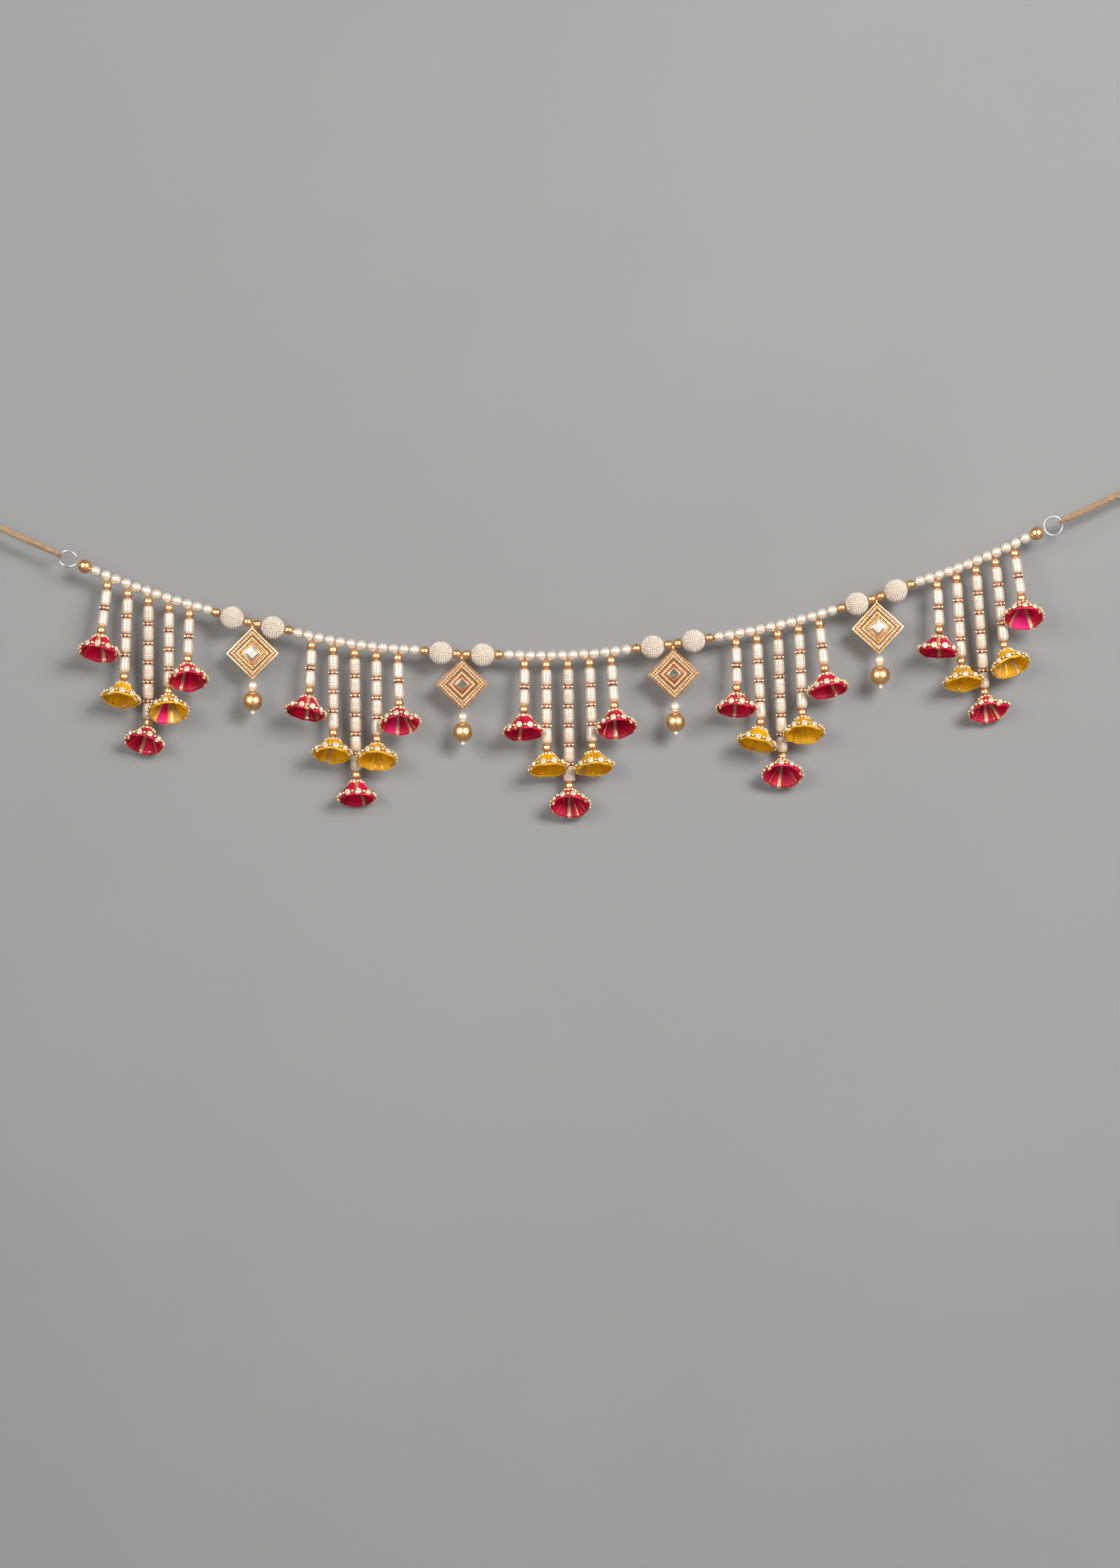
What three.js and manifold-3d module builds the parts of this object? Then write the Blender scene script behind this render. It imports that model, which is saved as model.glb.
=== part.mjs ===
// Toran door hanging: a beaded garland on a thread, 25 drop strands that end in silk bells, four
// square pendants, and a split ring with a jute tie at each end. Millimetres; +X to the right, +Z up,
// -Y towards the viewer; the origin is the middle of the garland, on its thread.
import * as THREE from "three";
import { mergeVertices } from "three/addons/utils/BufferGeometryUtils.js";
import Module from "manifold-3d";

const wasm = await Module();
wasm.setup();

// Bead sizes
const PEARL_R = 5;
const GOLD_R = 4.4;
const BALL_R = 11.2;
const END_GOLD_R = 6.5;
const OVAL_R = 5;
const OVAL_HALF = 7.5;
const SPACER_R = 5;
const SPACER_HALF = 1.6;
const THREAD_R = 1.2;

// Seats and gaps between pieces
const GAP = 0.3;
const TOP_GOLD_DROP = 8.7;
const GOLD_TO_OVAL = 11.75;

// Pendant
const PLATE_HALF_DIAGONAL = 24.8;
const PLATE_BELOW_STRING = 28.2;
const STEM_HALF = 0.5;
const STEM_TOP = 2.6;
const INTO_PLATE = 3;
const DROP_PEARL_BELOW = 30.8;
const DROP_GOLD_R = 9.25;
const DROP_GOLD_BELOW = 45;
const TINY_R = 2.25;
const TINY_BELOW = 55.6;

// Rings and ties
const RING_R = 8.85;
const RING_WIRE_R = 0.65;
const RING_REACH = 17;
const RING_TILT_LEFT = 35;
const RING_TILT_RIGHT = 8;
const RING_SEGMENTS = 16;
const RING_WIRE_SIDES = 6;
const TIE_STEPS = 6;
const TIE_CURVE_SEGMENTS = 4;
const KNOT_SEGMENTS = 10;
const KNOT_RINGS = 7;
const PULL_POINT = -4; // the point of a tie's route that the garland's end pulls towards

const STRING_SIDES = 8;
const STRAND_SIDES = 6;
const BELL_SIDES = 12;
const PLATE_SIDES = 4;
const WELD = 1e-3;

// Shape of each bead kind: rings at a share of its half length, with a share of its radius
const BEADS = {
  pearl: { half: PEARL_R, r: PEARL_R, rings: [[-0.5, 0.95], [0.5, 0.95]] },
  gold: { half: GOLD_R, r: GOLD_R, rings: [[-0.5, 0.95], [0.5, 0.95]] },
  endGold: { half: END_GOLD_R, r: END_GOLD_R, rings: [[-0.55, 0.92], [0.55, 0.92]] },
  ball: {
    half: BALL_R,
    r: BALL_R,
    rings: [[-0.82, 0.6], [-0.38, 0.97], [0.38, 0.97], [0.82, 0.6]],
  },
  oval: {
    half: OVAL_HALF,
    r: OVAL_R,
    rings: [[-0.96, 0.74], [-0.66, 1], [0.66, 1], [0.96, 0.74]],
  },
  spacer: { half: SPACER_HALF, r: SPACER_R, rings: [[-0.85, 1], [0.85, 1]] },
  dropGold: {
    half: DROP_GOLD_R,
    r: DROP_GOLD_R,
    rings: [[-0.8, 0.62], [-0.35, 0.97], [0.35, 0.97], [0.8, 0.62]],
  },
  tiny: { half: TINY_R, r: TINY_R, rings: [[-0.5, 0.95], [0.5, 0.95]] },
};

// Pearl sections: first and last pearl, and how far the middle sags below the line between them
const PEARLS_A_SECTION = 12;
const SECTIONS = [
  { x0: -442.4, z0: 78.9, x1: -337.8, z1: 42.8, sag: 2.2 },
  { x0: -253.0, z0: 20.7, x1: -143.5, z1: 4.9, sag: 2.8 },
  { x0: -55.0, z0: 0.4, x1: 55.0, z1: 5.2, sag: 2.8 },
  { x0: 142.1, z0: 17.5, x1: 248.2, z1: 42.0, sag: 2.2 },
  { x0: 330.4, z0: 69.6, x1: 429.1, z1: 109.5, sag: 2.4 },
];

// Links between sections: gold, ball, two golds with a pendant between them, ball, gold
const LINKS = [
  { x0: -329.4, z0: 39.9, x1: -261.4, z1: 23.4, sag: 1.7 },
  { x0: -134.0, z0: 3.8, x1: -64.4, z1: 0.4, sag: 1.3 },
  { x0: 64.8, z0: 6.2, x1: 133.0, z1: 16.1, sag: 0.8 },
  { x0: 257.2, z0: 44.4, x1: 321.9, z1: 66.1, sag: 1.4 },
];
const LINK_BEADS = [
  { kind: "gold", share: 0 },
  { kind: "ball", share: 0.218 },
  { kind: "gold", share: 0.433 },
  { kind: "gold", share: 0.567 },
  { kind: "ball", share: 0.782 },
  { kind: "gold", share: 1 },
];
const END_GOLDS = { left: { x: -452.6, z: 83.3 }, right: { x: 440.0, z: 114.1 } };

// Drop strands: after which pearl each hangs, its ovals and their pitch, and how far its foot stands
// back from the garland, so that a bell clears the next strand
const PLACES = [
  { pearl: 2, ovals: 2, pitch: 19.2, back: -6 },
  { pearl: 4, ovals: 4, pitch: 18.1, back: 0 },
  { pearl: 6, ovals: 6, pitch: 18.2, back: 12 },
  { pearl: 8, ovals: 4, pitch: 18.1, back: 0 },
  { pearl: 10, ovals: 2, pitch: 19.2, back: -6 },
];

// Each strand's lean to the right, then its bell's roll and its tilt towards the viewer, in degrees
const HANGS = [
  [
    { lean: -6.7, roll: 4, tilt: 25 },
    { lean: -2.6, roll: 8, tilt: 22 },
    { lean: -0.7, roll: 11, tilt: 30 },
    { lean: -0.2, roll: -3, tilt: 37 },
    { lean: -1.7, roll: -5, tilt: 30 },
  ],
  [
    { lean: -2.3, roll: 11, tilt: 20 },
    { lean: 0.1, roll: 3, tilt: 24 },
    { lean: 0.4, roll: -2, tilt: 19 },
    { lean: 0.5, roll: 0, tilt: 32 },
    { lean: 1.8, roll: -4, tilt: 31 },
  ],
  [
    { lean: -0.9, roll: 0, tilt: 21 },
    { lean: 0.3, roll: -6, tilt: 21 },
    { lean: 0.7, roll: -3, tilt: 37 },
    { lean: 1.8, roll: -7, tilt: 20 },
    { lean: 3.7, roll: -7, tilt: 31 },
  ],
  [
    { lean: 0.5, roll: 2, tilt: 21 },
    { lean: 2.6, roll: 15, tilt: 19 },
    { lean: 2.5, roll: 2, tilt: 39 },
    { lean: 2.6, roll: -3, tilt: 30 },
    { lean: 6.1, roll: -9, tilt: 22 },
  ],
  [
    { lean: 1.9, roll: 6, tilt: 14 },
    { lean: 3.2, roll: -5, tilt: 22 },
    { lean: 4.6, roll: -11, tilt: 32 },
    { lean: 6.0, roll: -18, tilt: 31 },
    { lean: 7.9, roll: -1, tilt: 35 },
  ],
];

// Bell, from its tip: distance down the axis and radius, outside to the rim and back up inside
const BELL_PROFILE = [
  { down: 7.4, r: 8.2 },
  { down: 8.6, r: 10.6 },
  { down: 16.2, r: 16.4 },
  { down: 17.6, r: 18.9 },
  { down: 19.0, r: 17.2 },
];
const BELL_INNER_TIP = 2.6;

// Pendant plate, from its back: distance towards the viewer and half diagonal
const PLATE_BACK = 1.6;
const PLATE_PROFILE = [
  { front: 0, half: PLATE_HALF_DIAGONAL },
  { front: 3.4, half: PLATE_HALF_DIAGONAL },
  { front: 3.4, half: 22.8 },
  { front: 2.6, half: 22.2 },
  { front: 2.6, half: 14.4 },
  { front: 4.2, half: 13.6 },
  { front: 4.6, half: 9.2 },
  { front: 5.6, half: 8.4 },
  { front: 6.4, half: 5.4 },
];
const PENDANT_LEANS = [0.2, 0.8, 1.8, 2.8];

// Routes of the ties, from the ring to the knot just outside the picture
const TIES = {
  left: {
    r: 2.9,
    knot: 5.2,
    route: [
      [-476.7, 94.9], [-481.8, 97.0], [-486.8, 99.2], [-491.9, 101.4], [-496.9, 103.6],
      [-502.0, 105.8], [-507.0, 108.0], [-512.1, 110.3], [-517.1, 112.6], [-522.2, 114.9],
      [-527.2, 117.3], [-532.3, 119.7], [-537.3, 122.1], [-542.4, 124.5], [-547.4, 127.0],
    ],
  },
  right: {
    r: 3.4,
    knot: 5.8,
    route: [
      [464.0, 126.3], [468.8, 128.3], [473.7, 130.5], [478.7, 132.7], [483.6, 135.0],
      [488.6, 137.2], [493.5, 139.5], [498.5, 141.8], [503.4, 144.1], [508.4, 146.5],
      [513.3, 148.9], [518.3, 151.3], [523.2, 153.7], [528.2, 156.1], [533.1, 158.6],
    ],
  },
};

const FINISHES = {
  pearl: { color: 0xe9e0d4, roughness: 0.3, metalness: 0 },
  strand: { color: 0xe6d9c6, roughness: 0.35, metalness: 0 },
  redSilk: { color: 0xc4103f, roughness: 0.5, metalness: 0 },
  yellowSilk: { color: 0xe9ac12, roughness: 0.5, metalness: 0 },
  pendant: { color: 0xc08a42, roughness: 0.35, metalness: 0.8 },
  steel: { color: 0xb8b8ba, roughness: 0.25, metalness: 1 },
  jute: { color: 0xd0b48a, roughness: 0.9, metalness: 0 },
};

const X_AXIS = new THREE.Vector3(1, 0, 0);
const Y_AXIS = new THREE.Vector3(0, 1, 0);
const DOWN = new THREE.Vector3(0, 0, -1);
const radians = THREE.MathUtils.degToRad;
const point = (x, z) => new THREE.Vector3(x, 0, z);

// A closed skin through rings of points: each row is { at, along, r }, and each end closes on a point.
// A ring's first point stands a share of a side round from across, which is level unless it is given.
function skin(rows, sides, firstPole, lastPole, { across: given, share = 0.5 } = {}) {
  const places = [];
  const faces = [];
  const turn = (2 * Math.PI) / sides;
  for (const { at, along, r } of rows) {
    const across = given ?? new THREE.Vector3().crossVectors(Y_AXIS, along).normalize();
    const outward = new THREE.Vector3().crossVectors(along, across).normalize();
    for (let i = 0; i < sides; i++) {
      const angle = turn * (i + share);
      places.push(
        at.clone().addScaledVector(across, r * Math.cos(angle)).addScaledVector(outward, r * Math.sin(angle)),
      );
    }
  }
  const first = places.push(firstPole) - 1;
  const last = places.push(lastPole) - 1;
  const lastRow = (rows.length - 1) * sides;
  for (let i = 0; i < sides; i++) {
    const next = (i + 1) % sides;
    faces.push(first, next, i, last, lastRow + i, lastRow + next);
    for (let row = 0; row < lastRow; row += sides) {
      faces.push(row + i, row + next, row + sides + next);
      faces.push(row + i, row + sides + next, row + sides + i);
    }
  }
  return new THREE.BufferGeometry().setFromPoints(places).setIndex(faces);
}

// One solid for a run of beads on a thread; each bead is { kind, at }
function beadString(beads, sides, ends) {
  const rows = [];
  const heading = (a, b) => b.clone().sub(a).normalize();
  const whole = [ends.first, ...beads.map((bead) => bead.at), ends.last];
  rows.push({ at: ends.first, along: heading(ends.first, beads[0].at), r: THREAD_R });
  beads.forEach(({ kind, at }, i) => {
    const shape = BEADS[kind];
    const along = heading(whole[i], whole[i + 2]);
    for (const [place, share] of shape.rings) {
      rows.push({ at: at.clone().addScaledVector(along, place * shape.half), along, r: share * shape.r });
    }
    const next = beads[i + 1];
    if (next && kind !== "spacer" && next.kind !== "spacer") {
      const share = shape.half / (shape.half + BEADS[next.kind].half);
      rows.push({ at: at.clone().lerp(next.at, share), along: heading(at, next.at), r: THREAD_R });
    }
  });
  rows.push({ at: ends.last, along: heading(beads.at(-1).at, ends.last), r: THREAD_R });
  return skin(rows, sides, ends.first.clone(), ends.last.clone());
}

// A place on a sagging run, at a share of the way along it
function onRun(run, share) {
  const sag = run.sag * 4 * share * (1 - share);
  return point(
    THREE.MathUtils.lerp(run.x0, run.x1, share),
    THREE.MathUtils.lerp(run.z0, run.z1, share) - sag,
  );
}

function sectionPearls(section) {
  const share = (i) => i / (PEARLS_A_SECTION - 1);
  return Array.from({ length: PEARLS_A_SECTION }, (_, i) => onRun(section, share(i)));
}

function asManifold(geometry) {
  const bare = geometry.clone();
  bare.deleteAttribute("normal");
  bare.deleteAttribute("uv");
  const merged = mergeVertices(bare, WELD);
  return new wasm.Manifold(
    new wasm.Mesh({
      numProp: 3,
      vertProperties: merged.attributes.position.array,
      triVerts: new Uint32Array(merged.index.array),
    }),
  );
}

function joined(geometries) {
  const mesh = geometries
    .map(asManifold)
    .reduce((all, next) => all.add(next))
    .getMesh();
  return new THREE.BufferGeometry()
    .setAttribute("position", new THREE.BufferAttribute(mesh.vertProperties, 3))
    .setIndex(new THREE.BufferAttribute(mesh.triVerts, 1));
}

const toran = new THREE.Group();

function place(name, geometry, finish) {
  geometry.computeVertexNormals();
  const mesh = new THREE.Mesh(geometry, new THREE.MeshStandardMaterial(FINISHES[finish]));
  mesh.name = name;
  toran.add(mesh);
  return mesh;
}

// Which way the garland's thread pulls at an end, and the middle of the ring there
function ringAt(side) {
  const end = point(END_GOLDS[side].x, END_GOLDS[side].z);
  const route = TIES[side].route;
  const pull = point(...route.at(PULL_POINT)).sub(end).normalize();
  return { end, pull, middle: end.clone().addScaledVector(pull, RING_REACH) };
}

function garland() {
  const beads = [{ kind: "endGold", at: ringAt("left").end }];
  SECTIONS.forEach((section, i) => {
    beads.push(...sectionPearls(section).map((at) => ({ kind: "pearl", at })));
    const link = LINKS[i];
    if (link) beads.push(...LINK_BEADS.map(({ kind, share }) => ({ kind, at: onRun(link, share) })));
  });
  beads.push({ kind: "endGold", at: ringAt("right").end });
  const reach = RING_REACH - RING_R - RING_WIRE_R - GAP;
  const end = (side) => ringAt(side).end.clone().addScaledVector(ringAt(side).pull, reach);
  place("garland", beadString(beads, STRING_SIDES, { first: end("left"), last: end("right") }), "pearl");
}

function ring(side, tilt) {
  const { middle, pull } = ringAt(side);
  const torus = new THREE.TorusGeometry(RING_R, RING_WIRE_R, RING_WIRE_SIDES, RING_SEGMENTS);
  const mesh = place(`ring_${side}`, torus, "steel");
  const facing = Y_AXIS.clone().applyAxisAngle(pull, radians(tilt));
  mesh.quaternion.setFromRotationMatrix(
    new THREE.Matrix4().makeBasis(pull, facing.clone().cross(pull).normalize(), facing),
  );
  mesh.position.copy(middle);
}

function tie(side) {
  const { r, knot, route } = TIES[side];
  const path = new THREE.CatmullRomCurve3(route.map(([x, z]) => point(x, z)));
  const section = new THREE.Shape();
  section.absarc(0, 0, r, 0, 2 * Math.PI);
  const tube = new THREE.ExtrudeGeometry(section, {
    steps: TIE_STEPS,
    extrudePath: path,
    curveSegments: TIE_CURVE_SEGMENTS,
  });
  const [x, z] = route.at(-1);
  const ball = new THREE.SphereGeometry(knot, KNOT_SEGMENTS, KNOT_RINGS).translate(x, 0, z);
  place(`tie_${side}`, joined([tube, ball]), "jute");
}

// A strand hangs square to the thread from between two pearls and then leans as it does in the picture
function strand(name, section, spot, hang) {
  const pearls = sectionPearls(section);
  const before = pearls[spot.pearl - 1];
  const after = pearls[spot.pearl];
  const thread = after.clone().sub(before).normalize();
  const top = before.clone().lerp(after, 0.5).addScaledVector(thread.clone().cross(Y_AXIS), -TOP_GOLD_DROP);
  const length = 2 * GOLD_TO_OVAL + (spot.ovals - 1) * spot.pitch;
  const along = DOWN.clone().applyAxisAngle(Y_AXIS, -radians(hang.lean));
  along.setY(spot.back / length).normalize();
  const beads = [{ kind: "gold", at: top }];
  for (let i = 0; i < spot.ovals; i++) {
    const below = GOLD_TO_OVAL + i * spot.pitch;
    if (i > 0) beads.push({ kind: "spacer", at: top.clone().addScaledVector(along, below - spot.pitch / 2) });
    beads.push({ kind: "oval", at: top.clone().addScaledVector(along, below) });
  }
  const foot = top.clone().addScaledVector(along, length);
  beads.push({ kind: "gold", at: foot });
  const ends = {
    first: top.clone().addScaledVector(along, -GOLD_R),
    last: foot.clone().addScaledVector(along, GOLD_R),
  };
  place(name, beadString(beads, STRAND_SIDES, ends), "strand");
  return ends.last.clone().addScaledVector(along, GAP);
}

function bell(name, tip, hang, finish) {
  const roll = radians(hang.roll);
  const tilt = radians(hang.tilt);
  const along = new THREE.Vector3(
    -Math.sin(roll) * Math.cos(tilt),
    -Math.sin(tilt),
    -Math.cos(roll) * Math.cos(tilt),
  );
  const down = (distance) => tip.clone().addScaledVector(along, distance);
  const rows = BELL_PROFILE.map((row) => ({ at: down(row.down), along, r: row.r }));
  place(name, skin(rows, BELL_SIDES, tip.clone(), down(BELL_INNER_TIP)), finish);
}

function pendant(name, link, lean) {
  const forward = Y_AXIS.clone().negate();
  const rows = PLATE_PROFILE.map(({ front, half }) => ({
    at: new THREE.Vector3(0, PLATE_BACK - front, 0),
    along: forward,
    r: half,
  }));
  const face = PLATE_PROFILE.at(-1).front;
  const back = new THREE.Vector3(0, PLATE_BACK, 0);
  const front = new THREE.Vector3(0, PLATE_BACK - face, 0);
  const plate = skin(rows, PLATE_SIDES, back, front, { across: X_AXIS, share: 0 });
  const hangs = (below) => new THREE.Vector3(0, 0, -below);
  const drop = beadString(
    [
      { kind: "pearl", at: hangs(DROP_PEARL_BELOW) },
      { kind: "dropGold", at: hangs(DROP_GOLD_BELOW) },
      { kind: "tiny", at: hangs(TINY_BELOW) },
    ],
    STRING_SIDES,
    { first: hangs(PLATE_HALF_DIAGONAL - INTO_PLATE), last: hangs(TINY_BELOW + TINY_R) },
  );
  const stemTop = PLATE_BELOW_STRING - STEM_TOP;
  const stemFoot = PLATE_HALF_DIAGONAL - INTO_PLATE;
  const stem = new THREE.BoxGeometry(2 * STEM_HALF, 2 * STEM_HALF, stemTop - stemFoot);
  stem.translate(0, 0, (stemTop + stemFoot) / 2);
  const mesh = place(name, joined([plate, drop, stem]), "pendant");
  const knot = onRun(link, 0.5);
  const swing = new THREE.Vector3(0, 0, -PLATE_BELOW_STRING).applyAxisAngle(Y_AXIS, -radians(lean));
  mesh.position.copy(knot).add(swing);
  mesh.rotation.y = -radians(lean);
}

garland();
ring("left", RING_TILT_LEFT);
ring("right", RING_TILT_RIGHT);
tie("left");
tie("right");
SECTIONS.forEach((section, s) => {
  PLACES.forEach((spot, p) => {
    const hang = HANGS[s][p];
    const mark = `${s + 1}_${p + 1}`;
    const tip = strand(`strand_${mark}`, section, spot, hang);
    bell(`bell_${mark}`, tip, hang, p % 2 ? "yellowSilk" : "redSilk");
  });
});
LINKS.forEach((link, i) => pendant(`pendant_${i + 1}`, link, PENDANT_LEANS[i]));

export default toran;
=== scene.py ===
import math
import random
import bpy
import numpy as np
from mathutils import Matrix, Vector


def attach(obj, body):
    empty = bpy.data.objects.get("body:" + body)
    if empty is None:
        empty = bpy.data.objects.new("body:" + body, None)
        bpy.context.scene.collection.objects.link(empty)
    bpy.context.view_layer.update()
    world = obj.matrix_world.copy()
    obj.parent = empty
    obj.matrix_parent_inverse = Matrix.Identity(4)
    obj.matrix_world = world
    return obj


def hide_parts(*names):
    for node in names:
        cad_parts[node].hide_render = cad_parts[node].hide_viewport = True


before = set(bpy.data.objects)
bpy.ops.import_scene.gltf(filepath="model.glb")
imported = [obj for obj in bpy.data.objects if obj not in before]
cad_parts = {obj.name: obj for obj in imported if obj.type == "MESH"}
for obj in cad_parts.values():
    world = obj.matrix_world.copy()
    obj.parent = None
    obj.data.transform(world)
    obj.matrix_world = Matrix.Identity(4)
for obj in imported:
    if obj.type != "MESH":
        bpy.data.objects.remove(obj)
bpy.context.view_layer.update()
mm = 0.001
print("frame loaded:", len(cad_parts), "nodes")


# Small helpers

def deselectAll():
    bpy.ops.object.select_all(action="DESELECT")


def pickOnly(piece):
    deselectAll()
    piece.select_set(True)
    bpy.context.view_layer.objects.active = piece


def named(name, *materials):  # the primitive that was just added
    piece = bpy.context.object
    piece.name = name
    piece.data.name = name
    for material in materials:
        piece.data.materials.append(material)
    return piece


def linked(name, data):
    piece = bpy.data.objects.new(name, data)
    bpy.context.collection.objects.link(piece)
    return piece


def pickFaces(piece, test, kind="FACE"):
    # leaves the piece in edit mode with these faces or edges selected
    pickOnly(piece)
    bpy.ops.object.mode_set(mode="EDIT")
    bpy.ops.mesh.select_mode(type=kind)
    bpy.ops.mesh.select_all(action="DESELECT")
    bpy.ops.object.mode_set(mode="OBJECT")
    for part in piece.data.polygons if kind == "FACE" else piece.data.edges:
        part.select = test(part)
    bpy.ops.object.mode_set(mode="EDIT")


def leaveEdit():
    bpy.ops.object.mode_set(mode="OBJECT")


def sink(thickness, move):  # insets the picked faces and moves them along Z, in mm
    bpy.ops.mesh.inset(thickness=thickness * mm)
    bpy.ops.transform.translate(value=(0, 0, move * mm))
    leaveEdit()


def applyPlace(piece):
    pickOnly(piece)
    bpy.ops.object.transform_apply(location=True, rotation=True, scale=True)


def applyModifier(piece, kind, **settings):
    pickOnly(piece)
    modifier = piece.modifiers.new(kind.lower(), kind)
    for setting, value in settings.items():
        setattr(modifier, setting, value)
    bpy.ops.object.modifier_apply(modifier=modifier.name)


def smooth(piece, angle=None):
    pickOnly(piece)
    if angle is None:
        bpy.ops.object.shade_smooth()
    else:
        bpy.ops.object.shade_smooth_by_angle(angle=math.radians(angle))


def joinUp(name, pieces):
    deselectAll()
    for piece in pieces:
        piece.select_set(True)
    bpy.context.view_layer.objects.active = pieces[0]
    bpy.ops.object.join()
    return named(name)


def discard(*pieces):
    for piece in pieces:
        bpy.data.objects.remove(piece)


def alongThread(at, heading, spin=0):  # local Z follows the thread and local -Y faces the viewer
    side = Vector((0, 1, 0)).cross(heading).normalized()
    depth = heading.cross(side).normalized()
    turn = Matrix((side, depth, heading.normalized())).transposed().to_4x4()
    return Matrix.Translation(at) @ turn @ Matrix.Rotation(math.radians(spin), 4, "Z")


def assemble(name, placed):
    # one mesh from many copies: placed is a list of (model, matrix)
    points, faces, finishes, flags, materials = [], [], [], [], []
    start = 0
    for model, place in placed:
        mesh = model.data
        corners = np.empty(len(mesh.vertices) * 3)
        mesh.vertices.foreach_get("co", corners)
        turn = np.array(place.to_3x3())
        points.append(corners.reshape(-1, 3) @ turn.T + np.array(place.translation))
        for material in mesh.materials:
            if material not in materials:
                materials.append(material)
        slots = [materials.index(material) for material in mesh.materials]
        for face in mesh.polygons:
            faces.append([corner + start for corner in face.vertices])
            finishes.append(slots[face.material_index])
            flags.append(face.use_smooth)
        start += len(mesh.vertices)
    mesh = bpy.data.meshes.new(name)
    mesh.from_pydata(np.concatenate(points).tolist(), [], faces)
    for material in materials:
        mesh.materials.append(material)
    mesh.polygons.foreach_set("material_index", finishes)
    mesh.polygons.foreach_set("use_smooth", flags)
    mesh.update()
    return linked(name, mesh)


def ellipse(middle, first, second, steps):
    # points round an ellipse with these two half axes
    points = []
    for step in range(steps):
        turn = math.tau * step / steps
        points.append(middle + first * math.cos(turn) + second * math.sin(turn))
    return points


def wire(name, points, radius, material, closed=False):
    # a round wire along the points, as a mesh
    curve = bpy.data.curves.new(name, "CURVE")
    curve.dimensions = "3D"
    curve.bevel_depth = radius
    curve.bevel_resolution = 2
    curve.use_fill_caps = True
    line = curve.splines.new("POLY")
    line.points.add(len(points) - 1)
    for spot, point in zip(line.points, points):
        spot.co = (*point, 1)
    line.use_cyclic_u = closed
    line.use_smooth = True
    pickOnly(linked(name, curve))
    bpy.ops.object.convert(target="MESH")
    piece = bpy.context.object
    piece.data.materials.append(material)
    return piece


def hang(piece, slot, *nodes):  # every piece of the door hanging is on the one body
    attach(piece, "root")
    if nodes:
        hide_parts(*nodes)


# Colours and effects that several materials use

def colour(red, green, blue):  # as read on a screen, 0 to 255
    def linear(level):
        level /= 255
        return level / 12.92 if level <= 0.04045 else ((level + 0.055) / 1.055) ** 2.4
    return (linear(red), linear(green), linear(blue), 1)


def newGroup(name, inputs, outputs):
    group = bpy.data.node_groups.new(name, "ShaderNodeTree")
    for socket, kind in inputs:
        group.interface.new_socket(socket, in_out="INPUT", socket_type=kind)
    for socket, kind in outputs:
        group.interface.new_socket(socket, in_out="OUTPUT", socket_type=kind)
    return group, group.nodes.new("NodeGroupInput"), group.nodes.new("NodeGroupOutput")


def addNode(tree, kind, inputs=None, **settings):
    node = tree.nodes.new(kind)
    for setting, value in settings.items():
        setattr(node, setting, value)
    for socket, value in (inputs or {}).items():
        if isinstance(value, bpy.types.NodeSocket):
            tree.links.new(value, node.inputs[socket])
        else:
            node.inputs[socket].default_value = value
    return node


def calc(tree, operation, *values, **settings):  # one step of a sum
    node = addNode(tree, "ShaderNodeMath", dict(enumerate(values)), operation=operation, **settings)
    return node.outputs[0]


def makeUnevenness():  # clouds and fine grain, for beads and metal
    group, given, result = newGroup(
        "unevenness",
        [("Vector", "NodeSocketVector"), ("Cloud Scale", "NodeSocketFloat"),
         ("Grain Scale", "NodeSocketFloat")],
        [("Mask", "NodeSocketFloat"), ("Height", "NodeSocketFloat")],
    )
    cloud = addNode(group, "ShaderNodeTexNoise", {
        "Vector": given.outputs["Vector"], "Scale": given.outputs["Cloud Scale"],
        "Detail": 3.0, "Roughness": 0.6})
    grain = addNode(group, "ShaderNodeTexNoise", {
        "Vector": given.outputs["Vector"], "Scale": given.outputs["Grain Scale"],
        "Detail": 2.0})
    mean = calc(group, "MULTIPLY", calc(group, "ADD", cloud.outputs["Fac"], grain.outputs["Fac"]), 0.5)
    steep = addNode(group, "ShaderNodeMapRange", {
        "Value": cloud.outputs["Fac"], "From Min": 0.35, "From Max": 0.65})
    group.links.new(steep.outputs["Result"], result.inputs["Mask"])
    group.links.new(mean, result.inputs["Height"])
    return group


def makeThreadsAndPleatShade():  # long threads with breaks in them, for silk and jute; U runs across them. On jute they are the fibres' own streaks, on silk painted light and shade of fine pleats
    group, given, result = newGroup(
        "threadsAndPleatShade",
        [("Vector", "NodeSocketVector"), ("Across", "NodeSocketFloat"),
         ("Along", "NodeSocketFloat")],
        [("Mask", "NodeSocketFloat"), ("Height", "NodeSocketFloat")],
    )
    stretch = addNode(group, "ShaderNodeCombineXYZ", {
        "X": given.outputs["Across"], "Y": given.outputs["Along"], "Z": 1.0})
    place = addNode(group, "ShaderNodeVectorMath", {
        0: given.outputs["Vector"], 1: stretch.outputs[0]}, operation="MULTIPLY")
    coarse = addNode(group, "ShaderNodeTexNoise", {
        "Vector": place.outputs[0], "Scale": 1.0, "Detail": 2.0})
    fine = addNode(group, "ShaderNodeTexNoise", {
        "Vector": place.outputs[0], "Scale": 4.0, "Detail": 1.0})
    mean = calc(group, "MULTIPLY", calc(group, "ADD", coarse.outputs["Fac"], fine.outputs["Fac"]), 0.5)
    steep = addNode(group, "ShaderNodeMapRange", {
        "Value": mean, "From Min": 0.38, "From Max": 0.62})
    group.links.new(steep.outputs["Result"], result.inputs["Mask"])
    group.links.new(mean, result.inputs["Height"])
    return group


unevenness = makeUnevenness()
threadsAndPleatShade = makeThreadsAndPleatShade()


def newMaterial(name, **sockets):
    material = bpy.data.materials.new(name)
    material.use_nodes = True
    shader = material.node_tree.nodes["Principled BSDF"]
    for socket, value in sockets.items():
        shader.inputs[socket.replace("_", " ")].default_value = value
    return material, material.node_tree, shader


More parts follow.
